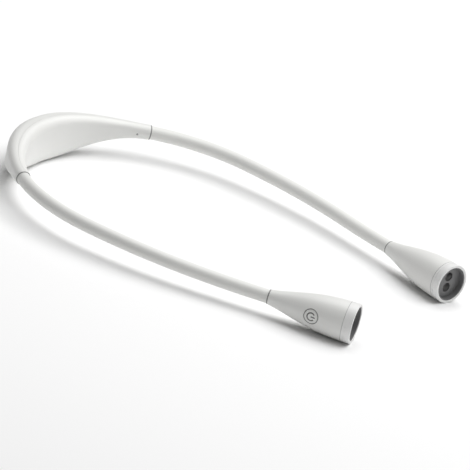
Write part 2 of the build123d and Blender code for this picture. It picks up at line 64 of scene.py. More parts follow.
away = Vector((
    sin(VIEW_AZIMUTH) * cos(VIEW_ELEVATION),
    -cos(VIEW_AZIMUTH) * cos(VIEW_ELEVATION),
    sin(VIEW_ELEVATION),
))
level = (-away).cross(Vector((0, 0, 1))).normalized()
upright = level.cross(-away)
image_right = cos(VIEW_ROLL) * level + sin(VIEW_ROLL) * upright
image_up = cos(VIEW_ROLL) * upright - sin(VIEW_ROLL) * level
aim = TARGET
aim = aim + image_right * (PHOTO_SIZE / 2 - TARGET_PIXEL[0]) / PHOTO_SCALE
aim = aim - image_up * (PHOTO_SIZE / 2 - TARGET_PIXEL[1]) / PHOTO_SCALE
camera_data = bpy.data.cameras.new("photo_camera")
camera_data.sensor_width = SENSOR_WIDTH
camera_data.lens = PHOTO_SCALE * SENSOR_WIDTH * VIEW_DISTANCE / PHOTO_SIZE
camera = bpy.data.objects.new("photo_camera", camera_data)
bpy.context.scene.collection.objects.link(camera)
turn = Matrix((image_right, image_up, away)).transposed().to_4x4()
camera.matrix_world = Matrix.Translation(aim + away * VIEW_DISTANCE) @ turn
bpy.context.scene.camera = camera

# The studio
# A plain white floor lit by one wide soft box overhead, with a weak fill all round. It is no part
# of the reading light.
FLOOR_SIZE = 12
FLOOR_WHITE = (0.97, 0.97, 0.97, 1)
FLOOR_ROUGHNESS = 0.9
FLOOR_SHINE = 0.1
SOFT_BOX_SIZE = 2.6
SOFT_BOX_PLACE = Vector((-0.7, 0.3, 1.9))
SOFT_BOX_POWER = 66
FILL_STRENGTH = 0.1


def deselect():
    for item in bpy.context.selected_objects:
        item.select_set(False)


deselect()
bpy.ops.mesh.primitive_plane_add(size=FLOOR_SIZE)
floor = bpy.context.object
floor.name = "studio_floor"
floor_paint = bpy.data.materials.new("studio_white")
floor_paint.use_nodes = True
floor_shader = floor_paint.node_tree.nodes["Principled BSDF"]
floor_shader.inputs["Base Color"].default_value = FLOOR_WHITE
floor_shader.inputs["Roughness"].default_value = FLOOR_ROUGHNESS
floor_shader.inputs["Specular IOR Level"].default_value = FLOOR_SHINE
floor.data.materials.append(floor_paint)

soft_box_data = bpy.data.lights.new("soft_box", "AREA")
soft_box_data.size = SOFT_BOX_SIZE
soft_box_data.energy = SOFT_BOX_POWER
soft_box = bpy.data.objects.new("soft_box", soft_box_data)
soft_box.location = SOFT_BOX_PLACE
soft_box.rotation_euler = SOFT_BOX_PLACE.to_track_quat("Z", "Y").to_euler()
bpy.context.scene.collection.objects.link(soft_box)

world = bpy.data.worlds.new("fill")
world.use_nodes = True
world.node_tree.nodes["Background"].inputs["Color"].default_value = (1, 1, 1, 1)
world.node_tree.nodes["Background"].inputs["Strength"].default_value = FILL_STRENGTH
bpy.context.scene.world = world

# Neck housing
# Two moulded white shells, parted along the loop's centre line and closed round the battery. Their skin
# is satin, with the fine even grain that an eroded mould leaves. The moulded solids are kept as they are.
CLOUD_SCALE = 45.0
MARKS_SCALE = 160.0
MARKS_RANGE = (0.55, 0.75)
MARKS_SHARE = -0.35
SHELL_WHITE = (0.86, 0.86, 0.84)
SHELL_SHADE = (0.8, 0.805, 0.78)


def new_socket(group, name, kind, way, value=None):
    socket = group.interface.new_socket(name=name, in_out=way, socket_type=kind)
    if value is not None:
        socket.default_value = value
    return socket


def add_node(tree, kind, **settings):
    node = tree.nodes.new(kind)
    for key, value in settings.items():
        if key in node.inputs:
            node.inputs[key].default_value = value
        else:
            setattr(node, key, value)
    return node


def make_skin_group():
    """Slow cloudiness, fine grain and sparse handling marks, on the piece's own coordinates."""
    group = bpy.data.node_groups.new("moulded_skin", "ShaderNodeTree")
    new_socket(group, "Grain Scale", "NodeSocketFloat", "INPUT", 4000.0)
    new_socket(group, "Base", "NodeSocketColor", "INPUT", (0.8, 0.8, 0.8, 1))
    new_socket(group, "Shade", "NodeSocketColor", "INPUT", (0.7, 0.7, 0.7, 1))
    new_socket(group, "Cloudiness", "NodeSocketFloat", "INPUT", 0.3)
    new_socket(group, "Gloss Low", "NodeSocketFloat", "INPUT", 0.35)
    new_socket(group, "Gloss High", "NodeSocketFloat", "INPUT", 0.5)
    new_socket(group, "Color", "NodeSocketColor", "OUTPUT")
    new_socket(group, "Roughness", "NodeSocketFloat", "OUTPUT")
    new_socket(group, "Height", "NodeSocketFloat", "OUTPUT")
    start = add_node(group, "NodeGroupInput")
    end = add_node(group, "NodeGroupOutput")
    place = add_node(group, "ShaderNodeTexCoord")
    cloud = add_node(group, "ShaderNodeTexNoise", Scale=CLOUD_SCALE, Detail=4.0, Roughness=0.55)
    grain = add_node(group, "ShaderNodeTexNoise", Detail=2.0, Roughness=0.6)
    marks = add_node(group, "ShaderNodeTexNoise", Scale=MARKS_SCALE, Detail=6.0, Roughness=0.7)
    marks_ramp = add_node(group, "ShaderNodeMapRange")
    marks_ramp.inputs["From Min"].default_value = MARKS_RANGE[0]
    marks_ramp.inputs["From Max"].default_value = MARKS_RANGE[1]
    cloud_amount = add_node(group, "ShaderNodeMath", operation="MULTIPLY")
    tint = add_node(group, "ShaderNodeMix", data_type="RGBA")
    gloss = add_node(group, "ShaderNodeMapRange")
    blend_marks = add_node(group, "ShaderNodeMath", operation="MULTIPLY_ADD")
    blend_marks.inputs[1].default_value = MARKS_SHARE
    link = group.links.new
    for texture in (cloud, grain, marks):
        link(place.outputs["Object"], texture.inputs["Vector"])
    link(start.outputs["Grain Scale"], grain.inputs["Scale"])
    link(cloud.outputs["Fac"], cloud_amount.inputs[0])
    link(start.outputs["Cloudiness"], cloud_amount.inputs[1])
    link(cloud_amount.outputs[0], tint.inputs["Factor"])
    link(start.outputs["Base"], tint.inputs["A"])
    link(start.outputs["Shade"], tint.inputs["B"])
    link(tint.outputs["Result"], end.inputs["Color"])
    link(marks.outputs["Fac"], marks_ramp.inputs["Value"])
    link(marks_ramp.outputs["Result"], blend_marks.inputs[0])
    link(cloud.outputs["Fac"], blend_marks.inputs[2])
    link(blend_marks.outputs[0], gloss.inputs["Value"])
    link(start.outputs["Gloss Low"], gloss.inputs["To Min"])
    link(start.outputs["Gloss High"], gloss.inputs["To Max"])
    link(gloss.outputs["Result"], end.inputs["Roughness"])
    link(grain.outputs["Fac"], end.inputs["Height"])
    return group


skin_group = make_skin_group()


def moulded(name, base, shade, cloudiness, gloss, grain_scale, grain_height, metallic=0.0):
    """A material with the moulded skin: its gloss is the lowest and highest roughness."""
    material = bpy.data.materials.new(name)
    material.use_nodes = True
    tree = material.node_tree
    shader = tree.nodes["Principled BSDF"]
    skin = add_node(tree, "ShaderNodeGroup", node_tree=skin_group)
    skin.inputs["Base"].default_value = (*base, 1)
    skin.inputs["Shade"].default_value = (*shade, 1)
    skin.inputs["Cloudiness"].default_value = cloudiness
    skin.inputs["Gloss Low"].default_value = gloss[0]
    skin.inputs["Gloss High"].default_value = gloss[1]
    skin.inputs["Grain Scale"].default_value = grain_scale
    bump = add_node(tree, "ShaderNodeBump", Distance=grain_height)
    tree.links.new(skin.outputs["Color"], shader.inputs["Base Color"])
    tree.links.new(skin.outputs["Roughness"], shader.inputs["Roughness"])
    tree.links.new(skin.outputs["Height"], bump.inputs["Height"])
    tree.links.new(bump.outputs["Normal"], shader.inputs["Normal"])
    shader.inputs["Metallic"].default_value = metallic
    return material


def dress(material, *nodes):
    """Gives CAD nodes this material."""
    for node in nodes:
        item = frame["nodes"][node]
        item.data.materials.clear()
        item.data.materials.append(material)


shell_plastic = moulded(
    "satin_white_shell",
    base=SHELL_WHITE,
    shade=SHELL_SHADE,
    cloudiness=0.4,
    gloss=(0.34, 0.48),
    grain_scale=3200,
    grain_height=0.00002,
)
dress(shell_plastic, "neck_outer_shell", "neck_inner_shell")

# Battery and electronics in the housing
# A green board on two posts carries the charging socket, the charging chip and the lamp driver's coil.
# Two foil pouch cells stand beside it, each pressed back by a block of foam.
screw_steel = moulded(
    "plated_screw_steel",
    base=(0.55, 0.55, 0.56),
    shade=(0.4, 0.4, 0.4),
    cloudiness=0.6,
    gloss=(0.22, 0.4),
    grain_scale=5000,
    grain_height=0.000006,
    metallic=1.0,
)
board_green = moulded(
    "green_solder_mask",
    base=(0.02, 0.16, 0.07),
    shade=(0.01, 0.1, 0.05),
    cloudiness=0.6,
    gloss=(0.2, 0.32),
    grain_scale=2500,
    grain_height=0.00001,
)
chip_black = moulded(
    "black_moulding",
    base=(0.02, 0.02, 0.02),
    shade=(0.035, 0.035, 0.035),
    cloudiness=0.7,
    gloss=(0.45, 0.6),
    grain_scale=5000,
    grain_height=0.00001,
)
socket_steel = moulded(
    "rolled_socket_steel",
    base=(0.6, 0.6, 0.61),
    shade=(0.45, 0.45, 0.46),
    cloudiness=0.5,
    gloss=(0.2, 0.35),
    grain_scale=3000,
    grain_height=0.000008,
    metallic=1.0,
)
cell_foil = moulded(
    "pouch_foil",
    base=(0.62, 0.62, 0.64),
    shade=(0.5, 0.5, 0.52),
    cloudiness=0.7,
    gloss=(0.25, 0.45),
    grain_scale=900,
    grain_height=0.00006,
    metallic=1.0,
)
foam_grey = moulded(
    "grey_foam",
    base=(0.12, 0.12, 0.125),
    shade=(0.05, 0.05, 0.05),
    cloudiness=0.9,
    gloss=(0.85, 0.95),
    grain_scale=1500,
    grain_height=0.0003,
)
light_window = moulded(
    "milky_light_window",
    base=(0.36, 0.36, 0.36),
    shade=(0.3, 0.3, 0.3),
    cloudiness=0.5,
    gloss=(0.12, 0.2),
    grain_scale=3000,
    grain_height=0.000004,
)
dress(screw_steel, "control_board_screws")
dress(board_green, "control_board")
dress(chip_black, "board_chips", "charging_tongue")
dress(socket_steel, "charging_socket")
dress(cell_foil, "right_battery_cell", "left_battery_cell")
dress(foam_grey, "battery_foam")
dress(light_window, "charge_light")

# Flexible arms
# A smooth white silicone sleeve over a wound steel core with two wires in its bore. The core holds any
# bend. Each length of arm is its own piece; a length in one of an arm's two bend zones is baked in place
# and follows no body.
LOOP_RADIUS = 0.107
NECK_HALF_ANGLE = radians(51)
SIDE_BEND_RADIUS = 0.339
TOE_IN = radians(15.4)
HEAD_RISE = radians(2.5)
ARM_LENGTH = 0.2113
BEND_ZONE_LENGTH = 0.052
ARM_RADIUS = 0.0047
CORE_RADIUS = 0.0028
CORE_WALL = 0.0009
CORE_FIT = 0.00005
WINDING_DEPTH = 0.0003
WINDING_PITCH = 0.0016
LEAD_RADIUS = 0.0005
LEAD_SPACING = 0.0012
LEAD_TAIL = 0.005
NECK_END_BLOCK = 0.02
HEAD_NOSE_LENGTH = 0.01
FERRULE_FLANGE_LENGTH = 0.0012
RING_STEP = 0.0013
SLEEVE_SIDES = 48
CORE_SIDES = 20
LEAD_SIDES = 12
SMOOTH_ANGLE = radians(35)

joints = {joint["name"]: joint for joint in frame["joints"]}
loop_up = -Vector(joints["right_arm_spread"]["axis"])
lay_down = Matrix.Rotation(-asin(loop_up.y), 4, "X")
rear_run = (pi / 2 - NECK_HALF_ANGLE) * LOOP_RADIUS
tip_start = rear_run + TOE_IN * SIDE_BEND_RADIUS
tip_bend_radius = (ARM_LENGTH - tip_start) / HEAD_RISE


def flat_place(run):
    """The right arm's centre line with the loop flat: the point and the direction at this run."""
    if run <= rear_run:
        turned = NECK_HALF_ANGLE + run / LOOP_RADIUS
        point = Vector((LOOP_RADIUS * sin(turned), -LOOP_RADIUS * cos(turned), 0))
        return point, Vector((cos(turned), sin(turned), 0))
    turned = min((run - rear_run) / SIDE_BEND_RADIUS, TOE_IN)
    ahead = Vector((-sin(turned), cos(turned), 0))
    point = Vector((LOOP_RADIUS, 0, 0)) + SIDE_BEND_RADIUS * Vector((cos(turned) - 1, sin(turned), 0))
    rise = max(0, min(run, ARM_LENGTH) - tip_start) / tip_bend_radius
    point = point + (ahead * sin(rise) + Vector((0, 0, 1 - cos(rise)))) * tip_bend_radius
    ahead = ahead * cos(rise) + Vector((0, 0, sin(rise)))
    return point + ahead * max(0, run - ARM_LENGTH), ahead


spread_run = BEND_ZONE_LENGTH / 4
spread_point = Vector(joints["right_arm_spread"]["pos_m"])
lay_down.translation = spread_point - lay_down @ flat_place(spread_run)[0]


def arm_place(run):
    """The right arm's centre line as the light lies."""
    point, ahead = flat_place(run)
    return lay_down @ point, lay_down.to_3x3() @ ahead


rear_centre = lay_down @ Vector((0, 0, 0))
side_centre = lay_down @ Vector((LOOP_RADIUS - SIDE_BEND_RADIUS, 0, 0))
tip_point, tip_ahead = arm_place(tip_start)
tip_axis = tip_ahead.cross(loop_up).normalized()
tip_centre = tip_point + loop_up * tip_bend_radius


def apply_place(item):
    deselect()
    item.select_set(True)
    bpy.context.view_layer.objects.active = item
    bpy.ops.object.transform_apply(location=True, rotation=True, scale=True)


def edit(item):
    bpy.context.view_layer.objects.active = item
    bpy.ops.object.mode_set(mode="EDIT")


def done():
    bpy.ops.object.mode_set(mode="OBJECT")


def arm_tube(name, start, end, radius, sides, ring_step, lift=0.0):
    """An open tube along the right arm: one ring, spun round each bend's centre in turn."""
    point, ahead = arm_place(start)
    deselect()
    bpy.ops.mesh.primitive_circle_add(
        vertices=sides,
        radius=radius,
        location=point + loop_up * lift,
        rotation=ahead.to_track_quat("Z", "Y").to_euler(),
    )
    tube = bpy.context.object
    tube.name = name
    apply_place(tube)
    edit(tube)
    bpy.ops.mesh.select_all(action="SELECT")
    stops = [start] + [stop for stop in (rear_run, tip_start, ARM_LENGTH) if start < stop < end] + [end]
    for first, last in zip(stops, stops[1:]):
        steps = max(1, round((last - first) / ring_step))
        if first >= ARM_LENGTH:
            for step in range(steps):
                bpy.ops.mesh.extrude_region_move(
                    TRANSFORM_OT_translate={"value": arm_place(first)[1] * (last - first) / steps}
                )
            continue
        if first < rear_run:
            centre, axis, bend_radius = rear_centre, loop_up, LOOP_RADIUS
        elif first < tip_start:
            centre, axis, bend_radius = side_centre, loop_up, SIDE_BEND_RADIUS
        else:
            centre, axis, bend_radius = tip_centre, tip_axis, tip_bend_radius
        angle = -(last - first) / bend_radius
        bpy.ops.mesh.spin(steps=steps, angle=angle, center=centre, axis=axis)
    bpy.ops.mesh.select_all(action="SELECT")
    bpy.ops.mesh.normals_make_consistent(inside=False)
    done()
    return tube


def solidify(item, thickness):
    """Gives an open tube its wall, inwards."""
    wall = item.modifiers.new("wall", "SOLIDIFY")
    wall.thickness = thickness
    wall.offset = -1
    bpy.context.view_layer.objects.active = item
    bpy.ops.object.modifier_apply(modifier=wall.name)


def smooth(item, angle=SMOOTH_ANGLE):
    deselect()
    item.select_set(True)
    bpy.context.view_layer.objects.active = item
    bpy.ops.object.shade_smooth_by_angle(angle=angle)


def close_ends(item):
    """Caps the two open ends of a tube."""
    edit(item)
    bpy.ops.mesh.select_all(action="DESELECT")
    bpy.ops.mesh.select_mode(type="EDGE")
    bpy.ops.mesh.select_non_manifold()
    bpy.ops.mesh.edge_face_add()
    bpy.ops.mesh.select_mode(type="VERT")
    bpy.ops.mesh.select_all(action="SELECT")
    bpy.ops.mesh.normals_make_consistent(inside=False)
    done()


def mirrored(item, name):
    """The left copy of a right piece, with its own mesh."""
    copy = item.copy()
    copy.data = item.data.copy()
    copy.name = name
    bpy.context.scene.collection.objects.link(copy)
    copy.scale = (-1, 1, 1)
    apply_place(copy)
    edit(copy)
    bpy.ops.mesh.select_all(action="SELECT")
    bpy.ops.mesh.normals_make_consistent(inside=False)
    done()
    return copy


half_zone = BEND_ZONE_LENGTH / 2
last_stop = ARM_LENGTH - BEND_ZONE_LENGTH
core_start = -NECK_END_BLOCK - FERRULE_FLANGE_LENGTH
core_end = ARM_LENGTH + HEAD_NOSE_LENGTH + FERRULE_FLANGE_LENGTH
LENGTHS = [
    ("root_spread", "neck", "arm_root", 0, half_zone),
    ("root_lift", "arm_root", "arm", half_zone, BEND_ZONE_LENGTH),
    ("middle", "arm", "arm", BEND_ZONE_LENGTH, last_stop),
    ("tip_turn", "arm", "arm_tip", last_stop, last_stop + half_zone),
    ("tip_tilt", "arm_tip", "head", last_stop + half_zone, ARM_LENGTH),
]
CAD_LENGTH = {
    "root_spread": "arm_root",
    "root_lift": "arm_root",
    "middle": "arm",
    "tip_turn": "arm_tip",
    "tip_tilt": "arm_tip",
}


def body_name(side, stem):
    return stem if stem == "neck" else f"{side}_{stem}"


def place_length(piece, side, stem, kind):
    """Attaches a length that rides on one body to it, bakes a length across a bend in place, and hides the
    solid it stands for.
    """
    name, before, after, start, end = stem
    if before == after:
        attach(piece, body_name(side, before))
    else:
        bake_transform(piece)
    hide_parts(f"{side}_{CAD_LENGTH[name]}_{kind}")


sleeve_rubber = moulded(
    "white_silicone",
    base=(0.85, 0.85, 0.825),
    shade=(0.79, 0.795, 0.77),
    cloudiness=0.4,
    gloss=(0.42, 0.55),
    grain_scale=2600,
    grain_height=0.000015,
)
core_steel = moulded(
    "wound_core_steel",
    base=(0.5, 0.5, 0.51),
    shade=(0.32, 0.32, 0.33),
    cloudiness=0.6,
    gloss=(0.25, 0.4),
    grain_scale=4000,
    grain_height=0.000008,
    metallic=1.0,
)
lead_red = moulded(
    "red_wire_insulation",
    base=(0.5, 0.02, 0.015),
    shade=(0.35, 0.01, 0.01),
    cloudiness=0.6,
    gloss=(0.3, 0.4),
    grain_scale=5000,
    grain_height=0.000006,
)
lead_black = moulded(
    "black_wire_insulation",
    base=(0.015, 0.015, 0.015),
    shade=(0.03, 0.03, 0.03),
    cloudiness=0.6,
    gloss=(0.3, 0.4),
    grain_scale=5000,
    grain_height=0.000006,
)


def two_sides(piece, stem, kind):
    """Places a finished right length and its left copy."""
    left = mirrored(piece, piece.name.replace("right_", "left_"))
    for side, item in (("right", piece), ("left", left)):
        smooth(item)
        place_length(item, side, stem, kind)


for stem in LENGTHS:
    name, before, after, start, end = stem
    reach_back = name == "root_spread"
    reach_on = name == "tip_tilt"
    sleeve = arm_tube(f"right_sleeve_{name}", start, end, ARM_RADIUS, SLEEVE_SIDES, RING_STEP)
    solidify(sleeve, ARM_RADIUS - CORE_RADIUS - CORE_FIT)
    sleeve.data.materials.append(sleeve_rubber)
    two_sides(sleeve, stem, "sleeve")

    core_from = core_start if reach_back else start
    core_to = core_end if reach_on else end
    core = arm_tube(f"right_core_{name}", core_from, core_to, CORE_RADIUS, CORE_SIDES, WINDING_PITCH / 2)
    edit(core)
    bpy.ops.mesh.select_all(action="DESELECT")
    done()
    for vertex in core.data.vertices:
        vertex.select = (vertex.index // CORE_SIDES) % 2 == 1
    edit(core)
    bpy.ops.transform.shrink_fatten(value=-WINDING_DEPTH)
    done()
    solidify(core, CORE_WALL)
    core.data.materials.append(core_steel)
    two_sides(core, stem, "core")

    lead_from = core_start - LEAD_TAIL if reach_back else start
    lead_to = core_end + LEAD_TAIL if reach_on else end
    for colour, material, way in (("red", lead_red, 1), ("black", lead_black, -1)):
        lift = way * LEAD_SPACING / 2
        lead_name = f"right_{colour}_lead_{name}"
        lead = arm_tube(lead_name, lead_from, lead_to, LEAD_RADIUS, LEAD_SIDES, RING_STEP, lift)
        close_ends(lead)
        lead.data.materials.append(material)
        two_sides(lead, stem, "leads")

# Arm end rings, painted gap shade
# A grey silicone ring is stretched over each end of a sleeve. It closes the gap against the neck housing
# or the head. Its grey is painted shade: it stands in for the shadow in that gap, as a thin dark line.
SEAL_RADIUS = 0.00505
SEAL_LENGTH = 0.0008
SEAL_WALL = 0.0003
SEAL_EDGE = 0.0001
SEAL_SIDES = 64
SHARP_ANGLE = radians(40)

# Painted shade: this grey, on the arm end rings and the button's groove ring, stands in for the shadow in
# the gaps.
gap_shade_grey = moulded(
    "grey_silicone_seal",
    base=(0.27, 0.27, 0.265),
    shade=(0.22, 0.22, 0.215),
    cloudiness=0.6,
    gloss=(0.5, 0.65),
    grain_scale=3000,
    grain_height=0.00001,
)


def soften_edges(item, width, segments=3, least=SHARP_ANGLE):
    """Rounds the piece's sharp edges."""
    soften = item.modifiers.new("soft_edge", "BEVEL")
    soften.width = width
    soften.segments = segments
    soften.limit_method = "ANGLE"
    soften.angle_limit = least
    bpy.context.view_layer.objects.active = item
    bpy.ops.object.modifier_apply(modifier=soften.name)


for name, body, seal_start in (("root", "neck", 0), ("tip", "head", ARM_LENGTH - SEAL_LENGTH)):
    seal_end = seal_start + SEAL_LENGTH
    shade_seal = arm_tube(f"right_{name}_seal", seal_start, seal_end, SEAL_RADIUS, SEAL_SIDES, SEAL_LENGTH / 2)
    solidify(shade_seal, SEAL_WALL)
    soften_edges(shade_seal, SEAL_EDGE)
    shade_seal.data.materials.append(gap_shade_grey)
    left_shade_seal = mirrored(shade_seal, f"left_{name}_seal")
    for side, item in (("right", shade_seal), ("left", left_shade_seal)):
        smooth(item)
        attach(item, body_name(side, body))

# Light heads
# Each head is a flared white shell, closed by a bezel ring. A dark cup inside the bezel holds two smoked
# lenses over the LED board and its heat spreader.
LENS_GREY = (0.14, 0.14, 0.145, 1)
LENS_SHINE = 0.3
LENS_INDEX = 1.49
LENS_GLOSS = (0.28, 0.38)

panel_grey = moulded(
    "dark_grey_cup",
    base=(0.17, 0.17, 0.172),
    shade=(0.2, 0.2, 0.202),
    cloudiness=0.7,
    gloss=(0.32, 0.45),
    grain_scale=3000,
    grain_height=0.00001,
)
bezel_plastic = moulded(
    "satin_white_bezel",
    base=(0.88, 0.88, 0.87),
    shade=(0.84, 0.84, 0.83),
    cloudiness=0.4,
    gloss=(0.3, 0.42),
    grain_scale=3200,
    grain_height=0.000015,
)
spreader_metal = moulded(
    "bare_aluminium",
    base=(0.7, 0.7, 0.71),
    shade=(0.58, 0.58, 0.6),
    cloudiness=0.5,
    gloss=(0.3, 0.45),
    grain_scale=2500,
    grain_height=0.00001,
    metallic=1.0,
)
led_board_mask = moulded(
    "black_solder_mask",
    base=(0.02, 0.02, 0.02),
    shade=(0.03, 0.03, 0.03),
    cloudiness=0.6,
    gloss=(0.3, 0.45),
    grain_scale=2500,
    grain_height=0.00001,
)
led_phosphor = moulded(
    "yellow_phosphor",
    base=(0.75, 0.55, 0.08),
    shade=(0.6, 0.42, 0.05),
    cloudiness=0.5,
    gloss=(0.4, 0.5),
    grain_scale=5000,
    grain_height=0.00001,
)
ferrule_metal = moulded(
    "crimped_steel",
    base=(0.55, 0.55, 0.56),
    shade=(0.4, 0.4, 0.41),
    cloudiness=0.6,
    gloss=(0.25, 0.4),
    grain_scale=3500,
    grain_height=0.00001,
    metallic=1.0,
)
switch_plastic = moulded(
    "black_switch_plastic",
    base=(0.025, 0.025, 0.025),
    shade=(0.04, 0.04, 0.04),
    cloudiness=0.6,
    gloss=(0.35, 0.5),
    grain_scale=5000,
    grain_height=0.00001,
)

lens_smoked = bpy.data.materials.new("smoked_lens")
lens_smoked.use_nodes = True
lens_tree = lens_smoked.node_tree
lens_shader = lens_tree.nodes["Principled BSDF"]
lens_shader.inputs["Base Color"].default_value = LENS_GREY
lens_shader.inputs["Specular IOR Level"].default_value = LENS_SHINE
lens_shader.inputs["Transmission Weight"].default_value = 1.0
lens_shader.inputs["IOR"].default_value = LENS_INDEX
lens_skin = add_node(lens_tree, "ShaderNodeGroup", node_tree=skin_group)
lens_skin.inputs["Gloss Low"].default_value = LENS_GLOSS[0]
lens_skin.inputs["Gloss High"].default_value = LENS_GLOSS[1]
lens_tree.links.new(lens_skin.outputs["Roughness"], lens_shader.inputs["Roughness"])

for side in ("right", "left"):
    dress(shell_plastic, f"{side}_head_shell")
    dress(bezel_plastic, f"{side}_bezel_ring")
    dress(panel_grey, f"{side}_front_panel")
    dress(lens_smoked, f"{side}_upper_lens", f"{side}_lower_lens")
    dress(spreader_metal, f"{side}_heat_spreader")
    dress(led_board_mask, f"{side}_led_board")
    dress(led_phosphor, f"{side}_led_chips")
    dress(screw_steel, f"{side}_led_board_screws")
    dress(ferrule_metal, f"{side}_head_ferrule", f"{side}_neck_ferrule")
    dress(switch_plastic, f"{side}_switch_body", f"{side}_switch_plunger")
    dress(board_green, f"{side}_switch_board")

# Bezel gaskets, painted seam shade
# A thin grey ring is pressed between the head's shell and its bezel. Only its outer lip shows, as the
# fine line round the front of the head. Its grey is painted shade, standing in for the shadow in the seam.
HEAD_LENGTH = 0.0617
HEAD_RADIUS = 0.014
HEAD_NECK_RADIUS = 0.0052
HEAD_WALL = 0.0016
FLARE_POWER = 3
FLARE_SWELL = 2
BEZEL_LENGTH = 0.0065
BEZEL_SEAM = 0.00015
GASKET_SINK = 0.00009
GASKET_HEIGHT = 0.0005
GASKET_LIP = 0.00032
GASKET_FOOT_SHARE = 0.35
GASKET_STEPS = 96
GASKET_MERGE = 0.0000075


def head_radius(place):
    """The flare of the shell, this far along the head."""
    share = place / HEAD_LENGTH
    flare = 1 - (1 - share) ** FLARE_POWER * (1 + FLARE_SWELL * share)
    return HEAD_NECK_RADIUS + (HEAD_RADIUS - HEAD_NECK_RADIUS) * flare


head_point, head_ahead = arm_place(ARM_LENGTH)
head_out = head_ahead.cross(loop_up).normalized()
head_up = head_out.cross(head_ahead)
head_axes = Matrix((head_up, head_out, head_ahead)).transposed().to_4x4()
head_axes.translation = head_point


def place_on_head(item):
    """Moves a piece modelled on the head's own axes to the right head."""
    item.data.transform(head_axes)


def bezel_gasket():
    """A ring with a wide lip and a narrow foot, turned about the head's axis."""
    middle = HEAD_LENGTH - BEZEL_LENGTH - BEZEL_SEAM / 2
    lip_radius = head_radius(middle) - GASKET_SINK
    centre = (lip_radius - GASKET_HEIGHT / 2, 0, middle)
    deselect()
    bpy.ops.mesh.primitive_plane_add(size=1, location=centre, rotation=(pi / 2, 0, 0))
    shade_gasket = bpy.context.object
    shade_gasket.name = "right_bezel_gasket"
    apply_place(shade_gasket)
    edit(shade_gasket)
    bpy.ops.transform.resize(value=(GASKET_HEIGHT, 1, GASKET_LIP), center_override=centre)
    bpy.ops.mesh.select_all(action="DESELECT")
    done()
    for vertex in shade_gasket.data.vertices:
        vertex.select = vertex.co.x < centre[0]
    edit(shade_gasket)
    bpy.ops.transform.resize(value=(1, 1, GASKET_FOOT_SHARE), center_override=centre)
    bpy.ops.mesh.select_mode(type="FACE")
    bpy.ops.mesh.select_all(action="SELECT")
    bpy.ops.mesh.delete(type="ONLY_FACE")
    bpy.ops.mesh.select_mode(type="VERT")
    bpy.ops.mesh.select_all(action="SELECT")
    bpy.ops.mesh.spin(steps=GASKET_STEPS, angle=2 * pi, center=(0, 0, 0), axis=(0, 0, 1))
    bpy.ops.mesh.select_all(action="SELECT")
    bpy.ops.mesh.remove_doubles(threshold=GASKET_MERGE)
    bpy.ops.mesh.normals_make_consistent(inside=False)
    done()
    return shade_gasket


# Painted shade: this grey stands in for the shadow in the seam between the head shell and the bezel.
seam_shade_grey = moulded(
    "painted_seam_shade_grey",
    base=(0.44, 0.44, 0.435),
    shade=(0.36, 0.36, 0.355),
    cloudiness=0.6,
    gloss=(0.5, 0.65),
    grain_scale=3000,
    grain_height=0.00001,
)
shade_gasket = bezel_gasket()
place_on_head(shade_gasket)
shade_gasket.data.materials.append(seam_shade_grey)
left_shade_gasket = mirrored(shade_gasket, "left_bezel_gasket")
for side, item in (("right", shade_gasket), ("left", left_shade_gasket)):
    smooth(item)
    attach(item, f"{side}_head")

# Power buttons
# A white cap sits flush in the outer side of each head, over a small push switch, kept in by a flange. A
# grey ring lies in the groove round it; its grey is painted shade, standing in for the groove's shadow.
# The standby sign is sunk into the cap and filled with grey.
BUTTON_PLACE = 0.032701
BUTTON_RADIUS = 0.00475
BUTTON_EDGE = 0.0002
BUTTON_FLANGE = 0.00065
BUTTON_FLANGE_HEIGHT = 0.0006
BUTTON_FLANGE_GAP = 0.0001
SIGN_RADIUS = 0.0027
SIGN_STROKE = 0.0009
SIGN_GAP = radians(38)
SIGN_DEPTH = 0.0003
SIGN_FILL = 0.00012
BAR_LENGTH = 0.0031
RING_OUTER = 0.00542
RING_INNER = 0.0049
RING_SINK = 0.00018
RING_THICKNESS = 0.00022
RING_EDGE = 0.00006
CAP_SIDES = 72
CAP_RINGS = 6
CAP_RING_WIDTH = BUTTON_RADIUS / 8
SIGN_SIDES = 48
BAR_CUTS = 5
CAP_SHARP_ANGLE = radians(50)
BUTTON_SMOOTH_ANGLE = radians(30)


def skin_height(across, along):
    """How far the head's skin stands out from its axis over a point beside the button's line."""
    return sqrt(head_radius(along) ** 2 - across**2)


def onto_skin(mesh, least, sink=0.0):
    """Moves each vertex that stands higher than least so that it keeps its height over the skin."""
    for vertex in mesh.vertices:
        if vertex.co.y > least:
            height = skin_height(vertex.co.x, vertex.co.z) - skin_height(0, BUTTON_PLACE)
            vertex.co.y += height - sink


skin_top = skin_height(0, BUTTON_PLACE)
flange_reach = BUTTON_RADIUS + BUTTON_FLANGE
flange_room = head_radius(BUTTON_PLACE - flange_reach) - HEAD_WALL
flange_top = sqrt(flange_room**2 - flange_reach**2) - BUTTON_FLANGE_GAP


def flat_ring(name, outer, inner, top, sides):
    """A flat ring round the button's line, facing out of the head."""
    centre = (0, top, BUTTON_PLACE)
    deselect()
    bpy.ops.mesh.primitive_circle_add(vertices=sides, radius=outer, location=centre, rotation=(pi / 2, 0, 0))
    ring = bpy.context.object
    ring.name = name
    apply_place(ring)
    edit(ring)
    bpy.ops.mesh.select_all(action="SELECT")
    bpy.ops.mesh.extrude_edges_move()
    bpy.ops.transform.resize(value=(inner / outer, 1, inner / outer), center_override=centre)
    done()
    return ring


def thicken(depth):
    """In edit mode, makes the flat piece a solid that reaches this far towards the head's axis."""
    bpy.ops.mesh.select_all(action="SELECT")
    bpy.ops.mesh.extrude_region_move(TRANSFORM_OT_translate={"value": (0, -depth, 0)})
    bpy.ops.mesh.select_all(action="SELECT")
    bpy.ops.mesh.normals_make_consistent(inside=False)
    bpy.ops.mesh.select_mode(type="VERT")


